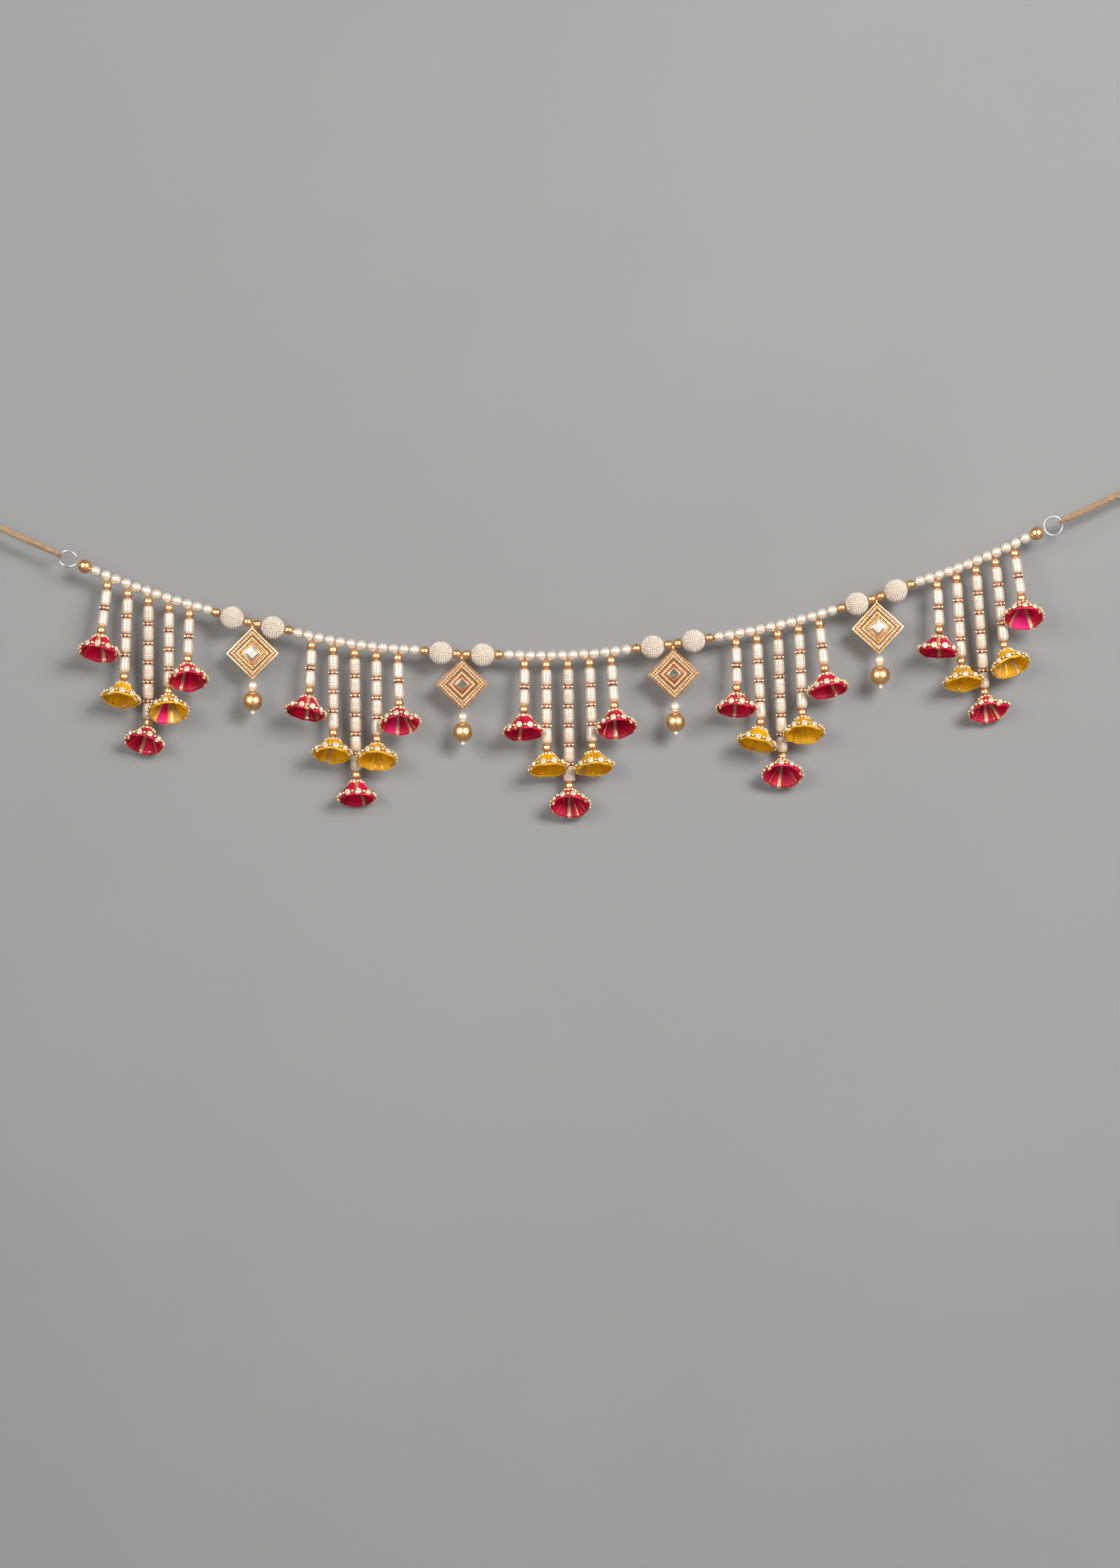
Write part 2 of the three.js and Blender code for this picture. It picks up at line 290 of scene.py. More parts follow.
def placeEffect(tree, group, place, values):
    # a shared effect in one material, with this material's own values
    effect = addNode(tree, "ShaderNodeGroup", node_tree=group)
    tree.links.new(place, effect.inputs["Vector"])
    for socket, value in values.items():
        effect.inputs[socket].default_value = value
    return effect


def addColour(tree, shader, mask, light, deep):  # from deep to light, as the mask rises
    mix = addNode(tree, "ShaderNodeMix", {"Factor": mask, 6: deep, 7: light}, data_type="RGBA")
    tree.links.new(mix.outputs[2], shader.inputs["Base Color"])


def addBump(tree, shader, height, strength, distance):
    bump = addNode(tree, "ShaderNodeBump", {
        "Height": height, "Strength": strength, "Distance": distance})
    tree.links.new(bump.outputs["Normal"], shader.inputs["Normal"])


def unevenMaterial(name, light, deep, cloud, grain, bump, **sockets):
    # light and deep colour in clouds, with a fine bump; scales are per metre
    material, tree, shader = newMaterial(name, **sockets)
    place = addNode(tree, "ShaderNodeTexCoord")
    effect = placeEffect(tree, unevenness, place.outputs["Object"], {
        "Cloud Scale": cloud, "Grain Scale": grain})
    addColour(tree, shader, effect.outputs["Mask"], light, deep)
    addBump(tree, shader, effect.outputs["Height"], bump, 0.0005)
    return material


def silkMaterial(name, bright, deep):
    # satin threads run from the tip to the hem; bright and deep are lit and shaded copies of the silk,
    # mixed by a random tone per strip between creases with painted fold shade across each strip, and by
    # painted pleat light and shade along the threads
    material, tree, shader = newMaterial(
        name, Roughness=0.5, Sheen_Weight=0.1, Sheen_Roughness=0.3, Sheen_Tint=bright,
        Specular_IOR_Level=0.1)
    place = addNode(tree, "ShaderNodeUVMap", uv_map="UVMap")
    effect = placeEffect(tree, threadsAndPleatShade, place.outputs["UV"], {"Across": 84, "Along": 3})
    # painted shade: the attribute holds a random tone per strip with a painted fold shade across it,
    # and the thread streaks add painted light and shade of fine pleats
    panelToneAndPaintedShade = addNode(tree, "ShaderNodeAttribute", attribute_name="panelToneAndPaintedShade")
    paintedPleatStreaks = calc(tree, "MULTIPLY", effect.outputs["Mask"], 0.45)
    toneAndPaintedShade = calc(tree, "ADD", panelToneAndPaintedShade.outputs["Fac"], paintedPleatStreaks, use_clamp=True)
    addColour(tree, shader, toneAndPaintedShade, bright, deep)
    addBump(tree, shader, effect.outputs["Height"], 0.6, 0.0004)
    return material


def laceMaterial(name, light, deep):
    # woven gold and brown spots: V runs along the lace in widths, U across it
    material, tree, shader = newMaterial(name, Roughness=0.38, Metallic=0.75)
    place = addNode(tree, "ShaderNodeUVMap", uv_map="UVMap")
    parts = addNode(tree, "ShaderNodeSeparateXYZ", {"Vector": place.outputs["UV"]})
    across, along = parts.outputs["X"], parts.outputs["Y"]
    slant = calc(tree, "ABSOLUTE", calc(tree, "SUBTRACT", across, 0.5))
    rise = calc(tree, "MULTIPLY_ADD", slant, 1.6, along)
    wave = calc(tree, "SINE", calc(tree, "MULTIPLY", rise, 17.0))
    beat = calc(tree, "SINE", calc(tree, "MULTIPLY", across, 26.0))
    relief = calc(tree, "MULTIPLY_ADD", wave, 0.35, calc(tree, "MULTIPLY", beat, wave))
    mask = addNode(tree, "ShaderNodeMapRange", {
        "Value": relief, "From Min": -0.35, "From Max": 0.35})
    addColour(tree, shader, mask.outputs["Result"], light, deep)
    addBump(tree, shader, mask.outputs["Result"], 0.8, 0.0003)
    return material


def juteMaterial(name, light, deep):
    material, tree, shader = newMaterial(
        name, Roughness=0.85, Sheen_Weight=0.4, Sheen_Tint=light, Specular_IOR_Level=0.2)
    place = addNode(tree, "ShaderNodeUVMap", uv_map="UVMap")
    effect = placeEffect(tree, threadsAndPleatShade, place.outputs["UV"], {"Across": 22, "Along": 150})
    addColour(tree, shader, effect.outputs["Mask"], light, deep)
    addBump(tree, shader, effect.outputs["Height"], 0.9, 0.0006)
    return material


pearlWhite = unevenMaterial(
    "pearlWhite", colour(238, 224, 206), colour(224, 208, 188), 220, 1500, 0.03,
    Roughness=0.34, Metallic=0.25, Coat_Weight=1.0, Coat_Roughness=0.14)
ovalPearl = unevenMaterial(
    "ovalPearl", colour(226, 213, 195), colour(213, 196, 173), 260, 1500, 0.03,
    Roughness=0.5, Metallic=0.08, Specular_IOR_Level=0.0, Coat_Weight=1.0, Coat_Roughness=0.08)
seedPearl = unevenMaterial(
    "seedPearl", colour(234, 220, 204), colour(220, 204, 186), 700, 3000, 0.03,
    Roughness=0.36, Metallic=0.1, Coat_Weight=0.5, Coat_Roughness=0.2)
pearlCore = unevenMaterial(
    "pearlCore", colour(232, 210, 184), colour(206, 178, 148), 900, 3000, 0.2, Roughness=0.6)
garlandGold = unevenMaterial(
    "garlandGold", colour(226, 178, 120), colour(198, 146, 90), 300, 2600, 0.05,
    Roughness=0.3, Metallic=0.95)
strandGold = unevenMaterial(
    "strandGold", colour(230, 182, 124), colour(204, 150, 94), 320, 2600, 0.06,
    Roughness=0.32, Metallic=0.95)
copper = unevenMaterial(
    "copper", colour(158, 66, 22), colour(120, 44, 12), 500, 3000, 0.1,
    Roughness=0.4, Metallic=0.6)
creamGold = unevenMaterial(
    "creamGold", colour(254, 232, 188), colour(236, 200, 140), 700, 3000, 0.06,
    Roughness=0.26, Metallic=0.55)
chainGold = unevenMaterial(
    "chainGold", colour(246, 206, 136), colour(214, 160, 88), 700, 3000, 0.08,
    Roughness=0.26, Metallic=0.75)
chainBack = unevenMaterial(
    "chainBack", colour(150, 84, 36), colour(104, 52, 22), 900, 3500, 0.4, Roughness=0.6)
clearStone = unevenMaterial(
    "clearStone", colour(255, 252, 240), colour(222, 214, 188), 900, 3000, 0.0,
    Roughness=0.12, Metallic=0.2, Coat_Weight=1.0, Coat_Roughness=0.04)
# bright and deep are lit and shaded copies of each silk's colour; the cloth mixes them as painted fold
# and pleat shade
redSilk = silkMaterial("redSilk", colour(236, 0, 74), colour(144, 0, 40))
yellowSilk = silkMaterial("yellowSilk", colour(255, 196, 2), colour(230, 152, 0))
pinkSilk = silkMaterial("pinkSilk", colour(248, 24, 128), colour(216, 8, 96))
laceGold = laceMaterial("laceGold", colour(252, 230, 176), colour(140, 92, 50))
pipingGold = unevenMaterial(
    "pipingGold", colour(232, 190, 104), colour(128, 78, 30), 900, 4000, 0.5,
    Roughness=0.4, Metallic=0.7)
plateGold = unevenMaterial(
    "plateGold", colour(236, 200, 144), colour(196, 148, 88), 420, 2600, 0.1,
    Roughness=0.45, Metallic=0.4)
darkGold = unevenMaterial(
    "darkGold", colour(190, 136, 70), colour(132, 84, 36), 420, 2600, 0.1,
    Roughness=0.45, Metallic=0.4)
plateFloor = unevenMaterial(
    "plateFloor", colour(130, 68, 14), colour(80, 38, 6), 900, 3200, 0.4,
    Roughness=0.6, Metallic=0.1, Specular_IOR_Level=0.2)
redEnamel = unevenMaterial(
    "redEnamel", colour(176, 28, 22), colour(146, 16, 16), 500, 2600, 0.05,
    Roughness=0.3, Coat_Weight=0.8)
greyBevel = unevenMaterial(
    "greyBevel", colour(150, 148, 138), colour(112, 108, 98), 500, 2600, 0.05,
    Roughness=0.25, Metallic=0.4)
whiteStone = unevenMaterial(
    "whiteStone", colour(252, 248, 240), colour(236, 230, 218), 300, 2000, 0.02,
    Roughness=0.15, Coat_Weight=1.0)
greenStone = unevenMaterial(
    "greenStone", colour(150, 150, 132), colour(92, 94, 78), 300, 2000, 0.02,
    Roughness=0.12, Coat_Weight=1.0)
granule = unevenMaterial(
    "granule", colour(246, 228, 200), colour(206, 170, 132), 900, 3000, 0.02,
    Roughness=0.2, Coat_Weight=0.6)
steel = unevenMaterial(
    "steel", colour(186, 184, 182), colour(150, 147, 145), 200, 2600, 0.05,
    Roughness=0.36, Metallic=1.0)
jute = juteMaterial("jute", colour(216, 180, 140), colour(162, 120, 82))
thread = unevenMaterial(
    "thread", colour(206, 184, 150), colour(160, 134, 100), 900, 3500, 0.4, Roughness=0.8)
print("materials made")


# Camera: straight on, as in the picture

camera = {"lens": 100, "sensor": 36, "frameHeight": 1.47, "x": -0.007, "z": -0.12075}


def addCamera():
    data = bpy.data.cameras.new("camera")
    data.lens = camera["lens"]
    data.sensor_width = camera["sensor"]
    distance = camera["frameHeight"] * camera["lens"] / camera["sensor"]
    piece = linked("camera", data)
    piece.location = (camera["x"], -distance, camera["z"])
    piece.rotation_euler = (math.radians(90), 0, 0)
    bpy.context.scene.camera = piece


addCamera()


# Jute ties, from the rings to the stopper knots just outside the picture

ties = {  # mm, x and z of the route; core is a share of the radius, fuzz the number of loose fibres
    "left": {
        "radius": 2.9, "core": 0.68, "knot": 5.2, "strands": 2, "turns": 0.45, "fuzz": 90,
        "route": [
            (-476.7, 94.9), (-481.8, 97.0), (-486.8, 99.2), (-491.9, 101.4), (-496.9, 103.6),
            (-502.0, 105.8), (-507.0, 108.0), (-512.1, 110.3), (-517.1, 112.6), (-522.2, 114.9),
            (-527.2, 117.3), (-532.3, 119.7), (-537.3, 122.1), (-542.4, 124.5), (-547.4, 127.0),
        ],
    },
    "right": {
        "radius": 3.4, "core": 0.54, "knot": 5.8, "strands": 3, "turns": 4.0, "fuzz": 90,
        "route": [
            (464.0, 126.3), (468.8, 128.3), (473.7, 130.5), (478.7, 132.7), (483.6, 135.0),
            (488.6, 137.2), (493.5, 139.5), (498.5, 141.8), (503.4, 144.1), (508.4, 146.5),
            (513.3, 148.9), (518.3, 151.3), (523.2, 153.7), (528.2, 156.1), (533.1, 158.6),
        ],
    },
}
ropeLay = {  # rings between two points of the route; lobe, ply and rough are shares of the radius
    "sides": 48, "steps": 8, "lobe": 0.29, "ply": 0.035, "rough": 0.012, "unrolled": 0.077,
}
looseFibre = {"radius": 0.07, "length": (1.2, 2.8), "bend": (0.1, 0.5)}


def ropeFrames(route):
    # points along the route, its heading and two directions square to it
    points = []
    for first, last in zip(route, route[1:]):
        for step in range(ropeLay["steps"]):
            points.append(first.lerp(last, step / ropeLay["steps"]))
    points.append(route[-1].copy())
    heading = (route[-1] - route[0]).normalized()
    side = Vector((0, 1, 0))
    return points, heading, side, heading.cross(side).normalized()


def ropeMesh(name, tie, route, draw):
    points, _, side, up = ropeFrames(route)
    radius = tie["radius"] * mm
    sides, rough = ropeLay["sides"], ropeLay["rough"]
    verts, faces, uvs = [], [], []
    for row, point in enumerate(points):
        share = row / (len(points) - 1)
        twist = math.tau * tie["turns"] * share
        for i in range(sides):
            angle = math.tau * i / sides
            lobe = ropeLay["lobe"] * abs(math.cos(tie["strands"] * (angle - twist) / 2)) ** 0.7
            ply = ropeLay["ply"] * math.sin(11 * angle - 9 * twist + 3 * share)
            reach = radius * (tie["core"] + lobe + ply + draw.uniform(-rough, rough))
            verts.append(point + side * (reach * math.cos(angle)) + up * (reach * math.sin(angle)))
            uvs.append((i / sides - 0.6 * share * tie["turns"], share * ropeLay["unrolled"]))
    for row in range(0, (len(points) - 1) * sides, sides):
        for i in range(sides):
            j = (i + 1) % sides
            faces.append((row + i, row + j, row + sides + j, row + sides + i))
    faces.append(tuple(reversed(range(sides))))
    faces.append(tuple(range(len(verts) - sides, len(verts))))
    mesh = bpy.data.meshes.new(name)
    mesh.from_pydata(verts, [], faces)
    layer = mesh.uv_layers.new(name="UVMap")
    for loop in mesh.loops:
        layer.data[loop.index].uv = uvs[loop.vertex_index]
    mesh.materials.append(jute)
    piece = linked(name, mesh)
    pickFaces(piece, lambda face: True)
    bpy.ops.mesh.normals_make_consistent(inside=False)
    leaveEdit()
    smooth(piece)
    return piece


def stopperKnot(name, tie, end, heading):
    # a rope tied on itself: a closed three-lobed knot drawn up tight
    rope = tie["radius"] * 0.5 * mm
    scale = (tie["knot"] * mm - rope) / 3
    points = []
    for step in range(48):
        turn = math.tau * step / 48
        points.append(Vector((
            math.sin(turn) + 2 * math.sin(2 * turn),
            math.cos(turn) - 2 * math.cos(2 * turn),
            -1.3 * math.sin(3 * turn),
        )) * scale)
    piece = wire(name, points, rope, jute, closed=True)
    layer = piece.data.uv_layers.new(name="UVMap")
    for loop in piece.data.loops:
        spot = piece.data.vertices[loop.vertex_index].co
        layer.data[loop.index].uv = (math.atan2(spot.y, spot.x), spot.length * 4)
    turn = heading.to_track_quat("Z", "Y").to_matrix().to_4x4()
    piece.data.transform(Matrix.Translation(end) @ turn)
    return piece


def looseFibres(name, tie, route, draw):
    points, heading, side, up = ropeFrames(route)
    fibres = []
    for _ in range(tie["fuzz"]):
        start = points[draw.randrange(2, len(points) - 8)]
        angle = draw.uniform(0, math.tau)
        outward = side * math.cos(angle) + up * math.sin(angle)
        surface = start + outward * (tie["radius"] * 0.9 * mm)
        lean = heading * draw.uniform(-1, 1)
        length = draw.uniform(*looseFibre["length"]) * mm
        bend = draw.uniform(*looseFibre["bend"])
        fibres.append(wire(f"{name}_{len(fibres)}", [
            surface,
            surface + (outward * 0.35 + lean * 0.5) * (length * 0.5),
            surface + (outward * bend + lean) * length,
        ], looseFibre["radius"] * mm, jute))
    piece = joinUp(name, fibres)
    piece.data.uv_layers.new(name="UVMap")
    return piece


def makeTie(side):
    tie = ties[side]
    draw = random.Random(7 if side == "left" else 11)
    route = [Vector((x, 0, z)) * mm for x, z in tie["route"]]
    heading = (route[-1] - route[0]).normalized()
    rope = ropeMesh(f"tieRope_{side}", tie, route, draw)
    knot = stopperKnot(f"tieKnot_{side}", tie, route[-1], heading)
    fuzz = looseFibres(f"tieFibres_{side}", tie, route, draw)
    hang(rope, "jute", f"tie_{side}")
    for piece in (knot, fuzz):
        hang(piece, "jute")


for side in ("left", "right"):
    makeTie(side)


# Bead models, each on the origin with its hole along Z

beads = {  # radius and hole in mm, and how finely the bead is rounded
    "pearl": {"radius": 5.0, "segments": 24, "rings": 14, "hole": 0.45},
    "gold": {"radius": 4.4, "segments": 20, "rings": 12, "hole": 0.45},
    "endGold": {"radius": 6.5, "segments": 28, "rings": 16, "hole": 0.5},
    "dropGold": {"radius": 9.25, "segments": 36, "rings": 22, "hole": 0.5},
    "tiny": {"radius": 2.25, "segments": 16, "rings": 10, "hole": 0.25},
}
oval = {"radius": 5.1, "half": 7.75, "ribs": 6, "ribDepth": 0.065, "square": 4, "egg": 0.07}
spacer = {"radius": 4.4, "half": 1.6, "ballRadius": 1.3, "ballRing": 4.1, "balls": 6}
seedBall = {"radius": 11.2, "seedRadius": 1.08, "rows": 15}


def roundBead(name, sizes, material):
    radius = sizes["radius"] * mm
    deselectAll()
    bpy.ops.mesh.primitive_uv_sphere_add(
        segments=sizes["segments"], ring_count=sizes["rings"], radius=radius)
    bead = named(name, material)
    rimHeight = radius * math.cos(math.pi / sizes["rings"])
    for end in (1, -1):  # the drilled hole's mouth at each end
        pickFaces(bead, lambda face: face.center.z * end > rimHeight)
        sink(sizes["hole"], -end * sizes["hole"])
    smooth(bead)
    return bead


def ovalBead(name, egg=0):
    deselectAll()
    bpy.ops.mesh.primitive_uv_sphere_add(segments=20, ring_count=38, radius=1)
    bead = named(name, ovalPearl)
    for vertex in bead.data.vertices:
        height = math.asin(max(-1, min(1, vertex.co.z))) / (math.pi / 2)
        around = max(0, 1 - abs(height) ** oval["square"]) ** (1 / oval["square"])
        rib = math.cos(math.tau * oval["ribs"] / 2 * height) * oval["ribDepth"]
        reach = (oval["radius"] + rib) * around * (1 - egg * height)
        angle = math.atan2(vertex.co.y, vertex.co.x)
        vertex.co = Vector((
            reach * math.cos(angle), reach * math.sin(angle), oval["half"] * height)) * mm
    smooth(bead)
    return bead


def seed(name, radius, material, segments=8, rings=5):
    deselectAll()
    bpy.ops.mesh.primitive_uv_sphere_add(segments=segments, ring_count=rings, radius=radius * mm)
    bead = named(name, material)
    smooth(bead)
    return bead


def spacerBead(name):
    deselectAll()
    bpy.ops.mesh.primitive_cylinder_add(
        vertices=18, radius=spacer["radius"] * mm, depth=2 * spacer["half"] * mm)
    disc = named("spacerDisc", copper)
    for end in (1, -1):  # hollowed ends, so that the ovals seat in them
        pickFaces(disc, lambda face: face.normal.z * end > 0.9)
        sink(1.2, -end * 0.4)
    applyModifier(disc, "BEVEL", width=0.45 * mm, segments=2, limit_method="ANGLE")
    smooth(disc, 40)
    ball = seed("spacerBall", spacer["ballRadius"], creamGold, 10, 7)
    placed = [(disc, Matrix())]
    reach = spacer["ballRing"] * mm
    for i in range(spacer["balls"]):
        angle = math.tau * i / spacer["balls"] - math.pi / 2
        spot = (reach * math.cos(angle), reach * math.sin(angle), 0)
        placed.append((ball, Matrix.Translation(spot)))
    bead = assemble(name, placed)
    discard(disc, ball)
    return bead


def seedBallBead(name):
    grain = seed("seedGrain", seedBall["seedRadius"], seedPearl)
    reach = seedBall["radius"] - seedBall["seedRadius"]
    deselectAll()
    bpy.ops.mesh.primitive_uv_sphere_add(segments=24, ring_count=14, radius=(reach - 0.2) * mm)
    core = named("seedBallCore", pearlCore)
    smooth(core)
    placed = [(core, Matrix())]
    for row in range(seedBall["rows"]):
        latitude = math.pi * ((row + 0.5) / seedBall["rows"] - 0.5)
        ringRadius = reach * math.cos(latitude)
        count = max(4, round(math.tau * ringRadius / (2 * seedBall["seedRadius"])))
        for i in range(count):
            angle = math.tau * (i + 0.5 * (row % 2)) / count
            place = Vector((
                ringRadius * math.cos(angle), ringRadius * math.sin(angle), reach * math.sin(latitude)))
            placed.append((grain, Matrix.Translation(place * mm)))
    ball = assemble(name, placed)
    discard(grain, core)
    return ball


models = {
    "pearl": roundBead("modelPearl", beads["pearl"], pearlWhite),
    "gold": roundBead("modelGold", beads["gold"], garlandGold),
    "strandGold": roundBead("modelStrandGold", beads["gold"], strandGold),
    "endGold": roundBead("modelEndGold", beads["endGold"], garlandGold),
    "dropGold": roundBead("modelDropGold", beads["dropGold"], strandGold),
    "tiny": roundBead("modelTiny", beads["tiny"], pearlWhite),
    "oval": ovalBead("modelOval"),
    "lastOval": ovalBead("modelLastOval", oval["egg"]),
    "spacer": spacerBead("modelSpacer"),
    "ball": seedBallBead("modelSeedBall"),
}
print("bead models made")


# Garland on its thread

garland = {  # mm; a run goes from (x, z) to (x, z) and its middle sags
    "pearls": 12,
    "sections": [
        ((-442.4, 78.9), (-337.8, 42.8), 2.2),
        ((-253.0, 20.7), (-143.5, 4.9), 2.8),
        ((-55.0, 0.4), (55.0, 5.2), 2.8),
        ((142.1, 17.5), (248.2, 42.0), 2.2),
        ((330.4, 69.6), (429.1, 109.5), 2.4),
    ],
    "links": [
        ((-329.4, 39.9), (-261.4, 23.4), 1.7),
        ((-134.0, 3.8), (-64.4, 0.4), 1.3),
        ((64.8, 6.2), (133.0, 16.1), 0.8),
        ((257.2, 44.4), (321.9, 66.1), 1.4),
    ],
    "linkBeads": [
        ("gold", 0), ("ball", 0.218), ("gold", 0.433), ("gold", 0.567), ("ball", 0.782), ("gold", 1),
    ],
    "endGolds": {"left": (-452.6, 83.3), "right": (440.0, 114.1)},
    "thread": 0.45,
}


def onRun(run, share):
    (x0, z0), (x1, z1), sag = run
    drop = sag * 4 * share * (1 - share)
    return Vector((x0 + (x1 - x0) * share, 0, z0 + (z1 - z0) * share - drop)) * mm


def sectionPearls(number):
    last = garland["pearls"] - 1
    return [onRun(garland["sections"][number], i / last) for i in range(garland["pearls"])]


def endGoldAt(side):
    x, z = garland["endGolds"][side]
    return Vector((x, 0, z)) * mm


def garlandBeads():
    sequence = [("endGold", endGoldAt("left"))]
    for number in range(len(garland["sections"])):
        sequence += [("pearl", at) for at in sectionPearls(number)]
        if number < len(garland["links"]):
            run = garland["links"][number]
            sequence += [(kind, onRun(run, share)) for kind, share in garland["linkBeads"]]
    sequence.append(("endGold", endGoldAt("right")))
    return sequence


# Split rings, where the thread pulls

rings = {  # mm and degrees; reach is the way from the end bead, pitch is in wire radii
    "radius": 8.85, "wire": 0.62, "reach": 17, "turns": 1.93, "start": 150, "steps": 76,
    "pitch": 2.1, "tilt": {"left": 35, "right": 8},
}
threadLoop = {"radius": 1.5, "wire": 0.35, "reach": 7.2}  # at the end of the garland's thread
hitch = {"apart": 0.935, "reach": 1.75, "depth": 2.1, "out": 0.2, "wire": 0.8}  # the rope on its ring


def ringFrame(side):
    # the end bead's place, the way the thread pulls, the way the ring faces and its middle
    end = endGoldAt(side)
    x, z = ties[side]["route"][-4]
    pull = (Vector((x, 0, z)) * mm - end).normalized()
    facing = Matrix.Rotation(math.radians(rings["tilt"][side]), 3, pull) @ Vector((0, 1, 0))
    return end, pull, facing, end + pull * (rings["reach"] * mm)


def makeRing(side):
    pull, facing, middle = ringFrame(side)[1:]
    across = facing.cross(pull).normalized()
    radius = rings["radius"] * mm
    points = []
    for step in range(rings["steps"] + 1):
        share = step / rings["steps"]
        turn = math.tau * rings["turns"] * share + math.radians(rings["start"])
        shift = (share - 0.5) * rings["pitch"] * rings["wire"] * mm
        points.append(middle + (pull * math.cos(turn) + across * math.sin(turn)) * radius
                      + facing * shift)
    ring = wire(f"splitRing_{side}", points, rings["wire"] * mm, steel)
    smooth(ring)
    hang(ring, "steel", f"ring_{side}")
    # the thread's loop between the end bead and the ring
    size = threadLoop["radius"] * mm
    spot = middle - pull * (radius + 0.35 * size)
    loop = ellipse(spot, pull * (1.2 * size), facing * size, 16)
    hang(wire(f"threadLoop_{side}", loop, threadLoop["wire"] * mm, thread, closed=True), "jute")
    # and the rope's hitch on the far side of the ring
    hitches = []
    for part, lift in enumerate((-hitch["apart"], hitch["apart"])):
        spot = middle + pull * (radius + hitch["out"] * mm) + across * (lift * mm)
        loop = ellipse(spot, pull * (hitch["reach"] * mm), facing * (hitch["depth"] * mm), 16)
        hitches.append(wire(f"hitch_{side}_{part}", loop, hitch["wire"] * mm, jute, closed=True))
    knotted = joinUp(f"tieHitch_{side}", hitches)
    knotted.data.uv_layers.new(name="UVMap")
    smooth(knotted)
    hang(knotted, "jute")


def makeGarland():
    sequence = garlandBeads()
    places = [at for _, at in sequence]
    draw = random.Random(3)
    placed = []
    balls = 0
    for i, (kind, at) in enumerate(sequence):
        before = places[max(0, i - 1)]
        after = places[min(len(places) - 1, i + 1)]
        place = alongThread(at, (after - before).normalized(), draw.uniform(0, 360))
        if kind == "ball":
            balls += 1
            ball = assemble(f"seedBall_{balls}", [(models["ball"], place)])
            hang(ball, "garland_pearl", "garland")
        else:
            placed.append((models[kind], place))
    pieces = assemble("garlandBeads", placed)
    hang(pieces, "garland_pearl", "garland")
    ends = []
    for side in ("left", "right"):
        end, pull = ringFrame(side)[:2]
        ends.append(end + pull * (threadLoop["reach"] * mm))
    string = wire("garlandThread", [ends[0], *places, ends[1]], garland["thread"] * mm, thread)
    hang(string, "jute", "garland")


for side in ("left", "right"):
    makeRing(side)
makeGarland()
print("garland strung")


# Drop strands

strands = {  # mm; each place: after which pearl, its ovals, their pitch and how far its foot is back
    "places": [(2, 2, 19.2, -6), (4, 4, 18.1, 0), (6, 6, 18.2, 12), (8, 4, 18.1, 0), (10, 2, 19.2, -6)],
    "topDrop": 8.7,
    "goldToOval": 11.75,
    "footToBell": 4.7,
    "thread": 0.4,
}
# degrees and mm: lean to the right, the bell's roll, its tilt to the viewer and its depth, then where
# its lace and its piping lie, round from the far side of the mouth to the right
hangs = {
    "1_1": (-6.7, 4, 25, 19.8, [12, 178, -110, 95], [-64, 60]),
    "1_2": (-2.6, 8, 22, 19.5, [-150, 120], [-62, -36, 6, 43]),
    "1_3": (-0.7, 11, 30, 19.0, [-16, 130, -125], [41, -66]),
    "1_4": (-0.2, -3, 37, 20.6, [-62, 9, 37, 150], [-120, 105]),
    "1_5": (-1.7, -5, 30, 19.7, [-27, 110, -140], [-69, 55]),
    "2_1": (-2.3, 11, 20, 19.0, [0, 172, 115], [40, 50, -70]),
    "2_2": (0.1, 3, 24, 18.5, [-19, 105, -130], [-48, 178]),
    "2_3": (0.4, -2, 19, 20.2, [23, 175, -100], [-54, 90]),
    "2_4": (0.5, 0, 32, 19.0, [130, -120], [-30, -6, 17, 70]),
    "2_5": (1.8, -4, 31, 19.4, [-10, 38, 140, -130], [-66, 57]),
    "3_1": (-0.9, 0, 21, 20.0, [-14, 100, -125], [62, -154]),
    "3_2": (0.3, -6, 21, 18.0, [110, -110], [75]),
    "3_3": (0.7, -3, 37, 19.5, [-3, 120, -115], [-49, 27, 58]),
    "3_4": (1.8, -7, 20, 19.0, [-40, 100], [-6, -170, 178]),
    "3_5": (3.7, -7, 31, 20.8, [-3, 130, -110], [-49, 66]),
    "4_1": (0.5, 2, 21, 18.0, [-5, 170, -115], [50, -52]),
    "4_2": (2.6, 15, 19, 19.0, [120, -120], [-80]),
    "4_3": (2.5, 2, 39, 19.0, [-10, 105, -130], [-47, 55]),
    "4_4": (2.6, -3, 30, 19.3, [140, -125], [-37, 10]),
    "4_5": (6.1, -9, 22, 18.6, [32, -120], [-70, 120]),
    "5_1": (1.9, 6, 14, 18.0, [8, -174, 105], [-60]),
    "5_2": (3.2, -5, 22, 18.8, [180, 90], [-8, -70]),
    "5_3": (4.6, -11, 32, 18.5, [-2, 42, 150, -110], [-45, 24]),
    "5_4": (6.0, -18, 31, 20.4, [-39, 33, 140], [-6, -100]),
    "5_5": (7.9, -1, 35, 19.0, [-45, 31, 125], [-120]),
}
pinches = {  # corners pulled out of a hem: bell, degrees round as above, share of the radius
    "5_3": (112, 0.2),
}
wideOvals = {"3_3": 1.12}  # a strand whose last oval is stouter, by this share
brightPanels = {  # lining panels of brighter pink silk: bell, from and to, degrees round as above
    "1_4": (-43, -6), "2_5": (-49, -16), "5_5": (-42, 28),
}


def strandLine(section, place):
    # top gold's place, the strand's direction and its length
    pearl, ovals, pitch, back = strands["places"][place]
    pearls = sectionPearls(section)
    before, after = pearls[pearl - 1], pearls[pearl]
    down = (after - before).normalized().cross(Vector((0, 1, 0))) * -1
    top = before.lerp(after, 0.5) + down * (strands["topDrop"] * mm)
    length = 2 * strands["goldToOval"] + (ovals - 1) * pitch
    lean = math.radians(hangs[f"{section + 1}_{place + 1}"][0])
    heading = Vector((math.sin(lean), back / length, -math.cos(lean))).normalized()
    return top, heading, length * mm


